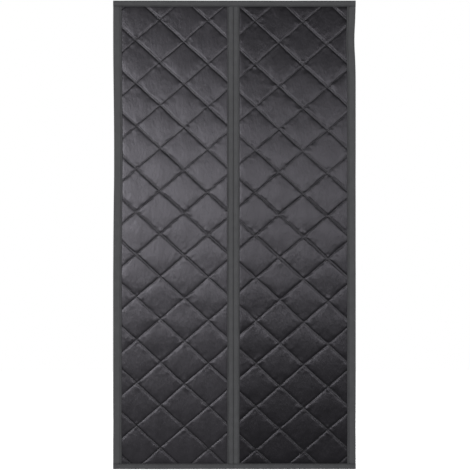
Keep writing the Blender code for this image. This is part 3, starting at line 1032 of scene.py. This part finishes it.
def strip_mesh(strip, binding, depths, leaf_of, quilt):
    """A closed folded strip: the section's middle line, set off by half the cloth's thickness to both
    sides along its normal and joined round its two lips, carried along the strip and closed at both
    ends."""
    steps = max(24, int(strip.length / 0.006))
    along = np.linspace(0, strip.length, steps)
    inward, depth = strip_section(along, strip, binding, depths, leaf_of, quilt)
    d_in, d_depth = np.gradient(inward, axis=1), np.gradient(depth, axis=1)
    size = np.hypot(d_in, d_depth)
    normal_in, normal_depth = d_depth / size, -d_in / size
    half = binding.cloth / 2
    ring_in = np.concatenate((inward + half * normal_in, (inward - half * normal_in)[:, ::-1]), axis=1)
    ring_depth = np.concatenate((depth + half * normal_depth, (depth - half * normal_depth)[:, ::-1]), axis=1)
    points = strip_places(strip, ring_in, along[:, None])
    points[..., 1] -= ring_depth
    count = ring_in.shape[1]
    column = np.arange(count)
    following = (column + 1) % count
    row = np.arange(steps - 1)[:, None] * count
    walls = np.stack((row + column, row + following, row + count + following, row + count + column), axis=-1)
    half_count = count // 2
    pair = np.arange(half_count - 1)
    start = np.stack((pair, count - 1 - pair, count - 2 - pair, pair + 1), axis=1)
    end = start[:, ::-1] + (steps - 1) * count
    faces = np.concatenate((walls.reshape(-1, 4), start, end))
    points = points.reshape(-1, 3)
    points[:, 0] += shift_all(points[:, 0], points[:, 2], leaf_of, binding)
    mesh = make_mesh(strip.name, points, face_outwards(points, faces))
    set_crease(mesh, strip_crease_shade(ring_in, strip))
    return mesh


# Strength and reach of the strip's painted shade: along its stitches, inside them, at its inner edge and its
# fold
STITCH_CREASE, INSIDE_CREASE = (0.8, 0.0013), (0.38, 0.001)
EDGE_CREASE, FOLD_CREASE = (0.5, 0.0012), (0.55, 0.0026)


def bell(away, crease):
    """A band of painted shade that fades on both sides: strength · exp(-(distance / reach)²)."""
    strength, reach = crease
    return strength * np.exp(-(away / reach) ** 2)


def strip_crease_shade(inward, strip):
    """How much painted shade the strip gets: most along its stitches, less inside them and at the fold."""
    strength, reach = INSIDE_CREASE
    inside = strength * np.clip((inward - strip.row) / reach, 0, 1) + bell(inward - strip.width, EDGE_CREASE)
    stitches = bell(inward - strip.row, STITCH_CREASE)
    return np.clip(np.maximum(stitches, inside) + bell(inward, FOLD_CREASE), 0, 1)


def shift_all(x, z, leaf_of, binding):
    """The bow of whichever leaf a point belongs to."""
    left, right = (bow_shift(x, z, leaf_of[side], binding.bow) for side in SIDES)
    return np.where(x < MEETING_LINE, left, right)


# Threads

def stitch_shape():
    """One stitch along its first axis: a spindle of three rings of four points between two tips, and
    its third axis points off the cloth. Lengths are shares of the stitch's length and thickness."""
    rings = ((-0.3, 0.42, 0.1), (0, 0.5, 0.3), (0.3, 0.42, 0.1))
    spindle = [(*ring, k) for ring in rings for k in range(4)]
    t, radius, height, k = np.array([(-0.5, 0, -0.5, 0), *spindle, (0.5, 0, -0.5, 0)]).T
    angle = (k + 0.5) * math.pi / 2
    points = np.stack((t, radius * np.cos(angle), radius * np.sin(angle) + height), axis=1)
    ring = np.arange(4)
    following = (ring + 1) % 4
    fans = [
        np.stack((ring * 0, 1 + following, 1 + ring), axis=1),
        np.stack((ring * 0 + 13, 9 + ring, 9 + following), axis=1),
    ]
    bands = []
    for first in (1, 5):
        a, b, c, d = first + ring, first + following, first + 4 + following, first + 4 + ring
        bands += [np.stack((a, b, c), axis=1), np.stack((a, c, d), axis=1)]
    return points, np.concatenate(fans + bands)


def stitch_mesh(name, places, ways, off, thread):
    """Copies the stitch to every place: its length lies along the way given there, its height along
    off, and its width across both."""
    shape, faces = stitch_shape()
    across = np.cross(off, ways)
    points = (
        places[:, None] + ways[:, None] * (shape[:, 0] * thread.stitch)[:, None]
        + across[:, None] * (shape[:, 1] * thread.thickness)[:, None]
        + off * (shape[:, 2] * thread.thickness)[:, None]
    )
    count = len(shape)
    every = faces[None] + (np.arange(len(places)) * count)[:, None, None]
    points = points.reshape(-1, 3)
    every = every.reshape(-1, 3)
    return make_mesh(name, points, face_outwards(points, every))


# How far inside the bindings the quilting stitches end
SEAM_END = 0.003


def seam_places(leaf, quilt, thread):
    """Where the quilting stitches lie: X and Z and the way of each, one row on the rising seams and
    two on the falling ones, inside the visible quilt."""
    down, up = lattice_steps(quilt)
    us, vs = (np.arange(first, last + 1.0) for first, last in lattice_span(leaf.visible, leaf, quilt))
    found = []
    half_gap = quilt.row_gap / 2 / seam_spacing(quilt)[1]
    families = (
        (us, vs, up, lambda line, run: (line, run)),
        (vs - half_gap, us, down, lambda line, run: (run, line)),
        (vs + half_gap, us, down, lambda line, run: (run, line)),
    )
    for lines, ends, way, order in families:
        side = np.linalg.norm(way)
        run = np.arange(ends[0], ends[-1], thread.pitch / side)
        line, run = (grid.ravel() for grid in np.meshgrid(lines, run, indexing="ij"))
        x, z = from_lattice(*order(line, run), leaf, quilt)
        shown = depth_inside(x, z, leaf.visible) > SEAM_END
        ways = np.zeros((shown.sum(), 3))
        ways[:, (0, 2)] = way / side
        found.append((x[shown], z[shown], ways))
    return [np.concatenate(part) for part in zip(*found)]


# Operators

# Room between a cloth and the wadding, and how much of the lining's bulge the wadding fills
CLOTH_ROOM, BACK_FILL = 0.0003, 0.85


class CURTAIN_OT_face_cloths(bpy.types.Operator):
    """Add the quilted face cloths"""

    bl_idname = "curtain.face_cloths"
    bl_label = "Face Cloths"

    def execute(self, context):
        curtain = context.scene.curtain
        quilt = curtain.quilt
        # The right leaf's cloth is painted darker, as painted shade
        finishes = {
            "left": face_cloth_finish("satin face cloth", quilt.left_colour, quilt),
            "right": face_cloth_finish("satin face cloth shaded darker", quilt.right_shaded_colour, quilt),
        }
        front = layer_depths().face_back + quilt.cloth
        for side, leaf in make_leaves(curtain).items():
            mesh = lattice_sheet(f"quilted_face_{side}", leaf, quilt, leaf.cut, 13, 1.18, True)
            x, _, z = mesh_points(mesh).T
            height, crease = quilt_relief(x, z, leaf, quilt)
            lay_out(mesh, front + height, leaf, curtain)
            set_crease(mesh, crease)
            add_quilted(mesh, finishes[side], "face_cloth", leaf, quilt.cloth * quilt.stretched)
        return {"FINISHED"}


class CURTAIN_OT_waddings(bpy.types.Operator):
    """Add the fibre wadding inside the quilt"""

    bl_idname = "curtain.waddings"
    bl_label = "Waddings"

    def execute(self, context):
        curtain = context.scene.curtain
        quilt, lining = curtain.quilt, curtain.lining
        finish = wadding_finish(lining)
        pinched = layer_depths().face_back - CLOTH_ROOM
        for side, leaf in make_leaves(curtain).items():
            low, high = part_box(f"wadding_{side}")
            rect = Rect(low.x, high.x, low.z, high.z)
            mesh = lattice_sheet(f"quilt_wadding_{side}", leaf, quilt, rect, 6, 1.25, False)
            in_front = len(mesh.vertices)
            edit_mesh(mesh, double_sheet)
            x, _, z = mesh_points(mesh).T
            rise = plain_relief(x, z, leaf, quilt)
            front = pinched + lining.wadding_share * quilt.loft * rise
            back = pinched - lining.wadding_pinched - BACK_FILL * lining.loft * rise
            lay_out(mesh, np.where(np.arange(len(x)) < in_front, front, back), leaf, curtain)
            edit_mesh(mesh, lambda work: bmesh.ops.recalc_face_normals(work, faces=work.faces))
            piece = add_piece(mesh.name, mesh, finish, "wadding", f"wadding_{side}")
        return {"FINISHED"}


class CURTAIN_OT_linings(bpy.types.Operator):
    """Add the quilted linings on the back"""

    bl_idname = "curtain.linings"
    bl_label = "Linings"

    def execute(self, context):
        curtain = context.scene.curtain
        quilt, lining = curtain.quilt, curtain.lining
        finish = lining_finish(lining)
        front = layer_depths().lining_front - lining.cloth
        for side, leaf in make_leaves(curtain).items():
            mesh = lattice_sheet(f"quilted_lining_{side}", leaf, quilt, leaf.cut, 9, 1.2, False)
            mesh.flip_normals()
            x, _, z = mesh_points(mesh).T
            rise, crease = lining_relief(x, z, leaf, quilt)
            lay_out(mesh, front - lining.loft * rise, leaf, curtain)
            set_crease(mesh, crease)
            add_quilted(mesh, finish, "lining", leaf, lining.cloth)
        return {"FINISHED"}


class CURTAIN_OT_bindings(bpy.types.Operator):
    """Add the folded strips round the edges"""

    bl_idname = "curtain.bindings"
    bl_label = "Bindings"

    def execute(self, context):
        curtain = context.scene.curtain
        binding = curtain.binding
        finish = binding_finish(binding)
        depths = layer_depths()
        leaf_of = make_leaves(curtain)
        for strip in all_strips(leaf_of, binding):
            mesh = strip_mesh(strip, binding, depths, leaf_of, curtain.quilt)
            piece = add_piece(strip.name, mesh, finish, "binding", strip.node)
        return {"FINISHED"}


class CURTAIN_OT_quilting(bpy.types.Operator):
    """Add the quilting thread on the front and the back"""

    bl_idname = "curtain.quilting"
    bl_label = "Quilting Thread"

    def execute(self, context):
        curtain = context.scene.curtain
        quilt, lining, thread = curtain.quilt, curtain.lining, curtain.thread
        finish = thread_finish("quilting thread", thread.colour)
        depths = layer_depths()
        for side, leaf in make_leaves(curtain).items():
            x, z, ways = seam_places(leaf, quilt, thread)
            placed_x, placed_z = finished_place(x, z, leaf, quilt, curtain.binding.bow)
            height, rise = quilt_relief(x, z, leaf, quilt)[0], lining_relief(x, z, leaf, quilt)[0]
            front = depths.face_back + quilt.cloth + height + THREAD_ROOM
            rear = depths.lining_front - lining.cloth - lining.loft * rise - THREAD_ROOM
            rows = (("quilting", front, -1.0, "face_cloth"), ("bobbin", rear, 1.0, "lining"))
            for name, depth, off, slot in rows:
                places = np.stack((placed_x, -depth, placed_z), axis=1)
                mesh = stitch_mesh(f"{name}_thread_{side}", places, ways, np.array((0, off, 0)), thread)
                add_piece(mesh.name, mesh, finish, slot)
        return {"FINISHED"}


class CURTAIN_OT_topstitch(bpy.types.Operator):
    """Add the rows of stitches on the bindings"""

    bl_idname = "curtain.topstitch"
    bl_label = "Topstitching"

    def execute(self, context):
        curtain = context.scene.curtain
        binding, thread = curtain.binding, curtain.thread
        finish = thread_finish("binding thread", thread.binding_colour)
        depths = layer_depths()
        leaf_of = make_leaves(curtain)
        places, ways = [], []
        for strip in all_strips(leaf_of, binding):
            along = np.arange(thread.pitch, strip.length - thread.pitch, thread.pitch)
            inward = np.full_like(along, strip.row)
            spots = strip_places(strip, inward, along)
            spots[:, 1] -= lip_depth(inward, along, strip, binding, depths) + binding.cloth / 2 + THREAD_ROOM
            spots[:, 0] += shift_all(spots[:, 0], spots[:, 2], leaf_of, binding)
            places.append(spots)
            ways.append(np.broadcast_to(np.array(strip.along, float), spots.shape))
        places, ways = np.concatenate(places), np.concatenate(ways)
        mesh = stitch_mesh("topstitching", places, ways, np.array((0.0, -1, 0)), thread)
        add_piece(mesh.name, mesh, finish, "binding")
        return {"FINISHED"}


class CURTAIN_OT_fixings(bpy.types.Operator):
    """Finish the tapes, magnets and weights of the frame"""

    bl_idname = "curtain.fixings"
    bl_label = "Tapes, Magnets and Weights"

    def execute(self, context):
        fixing = context.scene.curtain.fixing
        finishes = {
            "hook_tape": hook_finish(fixing),
            "loop_tape": loop_finish(fixing),
            "magnet": metal_finish("nickel coat", fixing.magnet_colour, 0.32, (80, 80, 20)),
            "hem_weight": metal_finish("zinc plate", fixing.weight_colour, 0.36, (12, 200, 200)),
        }
        for name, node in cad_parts.items():
            for start, finish in finishes.items():
                if name.startswith(start):
                    node.data.materials.clear()
                    node.data.materials.append(finish)
        return {"FINISHED"}


class CURTAIN_OT_stage(bpy.types.Operator):
    """Add the camera, the lights, the backdrop and the floor"""

    bl_idname = "curtain.stage"
    bl_label = "Stage"

    def execute(self, context):
        scene = context.scene
        stage = scene.curtain.stage
        scene.view_settings.view_transform = "Standard"
        add_camera(scene, stage)
        spot = stage.key_place
        ahead = Vector((spot[0], 0, spot[2]))
        lights = [add_light("key", spot, ahead, stage.key_width, stage.key_height, stage.key_power)]
        powers = (("left", -1, stage.left_rim_power), ("right", 1, stage.right_rim_power))
        for side, sign, power in powers:
            spot = Vector(stage.rim_place) * Vector((sign, 1, 1))
            lights.append(add_light(f"rim {side}", spot, CAD_MIDDLE, stage.rim_size, stage.rim_size, power))
        for light in lights:
            light.visible_diffuse = False
        add_light("back", stage.back_place, CAD_MIDDLE, stage.back_size, stage.back_size, stage.back_power)
        add_world(scene, stage)
        add_floor(scene, stage)
        return {"FINISHED"}


# Stage

def add_camera(scene, stage):
    """Looks square at the curtain, so far off that the photograph's width covers its own pixels."""
    data = bpy.data.cameras.new("camera")
    data.lens = stage.lens
    camera = bpy.data.objects.new("camera", data)
    seen = stage.photo_pixel * stage.photo_pixels
    away = seen * stage.lens / data.sensor_width
    camera.location = (stage.camera_x, -layer_depths().binding_front - away, stage.camera_z)
    camera.rotation_euler = (math.pi / 2, 0, 0)
    scene.collection.objects.link(camera)
    scene.camera = camera


def add_light(name, place, target, width, height, power):
    data = bpy.data.lights.new(name, "AREA")
    data.shape = "RECTANGLE"
    data.size = width
    data.size_y = height
    data.energy = power
    light = bpy.data.objects.new(name, data)
    light.location = place
    light.rotation_euler = (target - Vector(place)).to_track_quat("-Z", "Y").to_euler()
    light.visible_camera = False
    bpy.context.scene.collection.objects.link(light)
    return light


def add_world(scene, stage):
    """A white backdrop, and a softer white light from all round."""
    world = bpy.data.worlds.new("studio")
    world.use_nodes = True
    scene.world = world
    tree = world.node_tree
    shown = tree.nodes["Background"]
    shown.inputs["Color"].default_value = (1, 1, 1, 1)
    around = tree.nodes.new("ShaderNodeBackground")
    around.inputs["Color"].default_value = (*stage.ambient_colour, 1)
    around.inputs["Strength"].default_value = stage.ambient
    path = tree.nodes.new("ShaderNodeLightPath")
    mix = tree.nodes.new("ShaderNodeMixShader")
    tree.links.new(path.outputs["Is Camera Ray"], mix.inputs[0])
    tree.links.new(around.outputs[0], mix.inputs[1])
    tree.links.new(shown.outputs[0], mix.inputs[2])
    tree.links.new(mix.outputs[0], tree.nodes["World Output"].inputs["Surface"])


def add_floor(scene, stage):
    half = stage.floor_size / 2
    z = CAD_BOX[0].z - stage.floor_drop
    points = np.array(((-half, -half, z), (half, -half, z), (half, half, z), (-half, half, z)))
    mesh = make_mesh("floor", points, np.array(((0, 1, 2, 3),)))
    f = Finish("pale floor", stage.floor_colour, 0.9)
    f.set("Emission Color", (1, 1, 1, 1))
    f.set("Emission Strength", stage.floor_glow)
    mesh.materials.append(f.material)
    floor = bpy.data.objects.new("floor", mesh)
    floor.visible_diffuse = False
    floor.visible_glossy = False
    scene.collection.objects.link(floor)


class CURTAIN_PT_panel(bpy.types.Panel):
    """Lists the curtain's pieces"""

    bl_label = "Door Curtain"
    bl_idname = "CURTAIN_PT_panel"
    bl_space_type = "VIEW_3D"
    bl_region_type = "UI"
    bl_category = "Curtain"

    def draw(self, context):
        for operator in OPERATORS:
            self.layout.operator(operator.bl_idname)


OPERATORS = (
    CURTAIN_OT_stage,
    CURTAIN_OT_face_cloths,
    CURTAIN_OT_waddings,
    CURTAIN_OT_linings,
    CURTAIN_OT_bindings,
    CURTAIN_OT_quilting,
    CURTAIN_OT_topstitch,
    CURTAIN_OT_fixings,
)
SETTINGS = (
    QuiltSettings, LiningSettings, BindingSettings, ThreadSettings, FixingSettings, StageSettings,
    CurtainSettings,
)


def register():
    for item in SETTINGS + OPERATORS + (CURTAIN_PT_panel,):
        bpy.utils.register_class(item)
    bpy.types.Scene.curtain = PointerProperty(type=CurtainSettings)


def unregister():
    del bpy.types.Scene.curtain
    for item in reversed(SETTINGS + OPERATORS + (CURTAIN_PT_panel,)):
        bpy.utils.unregister_class(item)


def main():
    register()
    for operator in OPERATORS:
        family, name = operator.bl_idname.split(".")
        getattr(getattr(bpy.ops, family), name)()


if __name__ == "__main__":
    main()
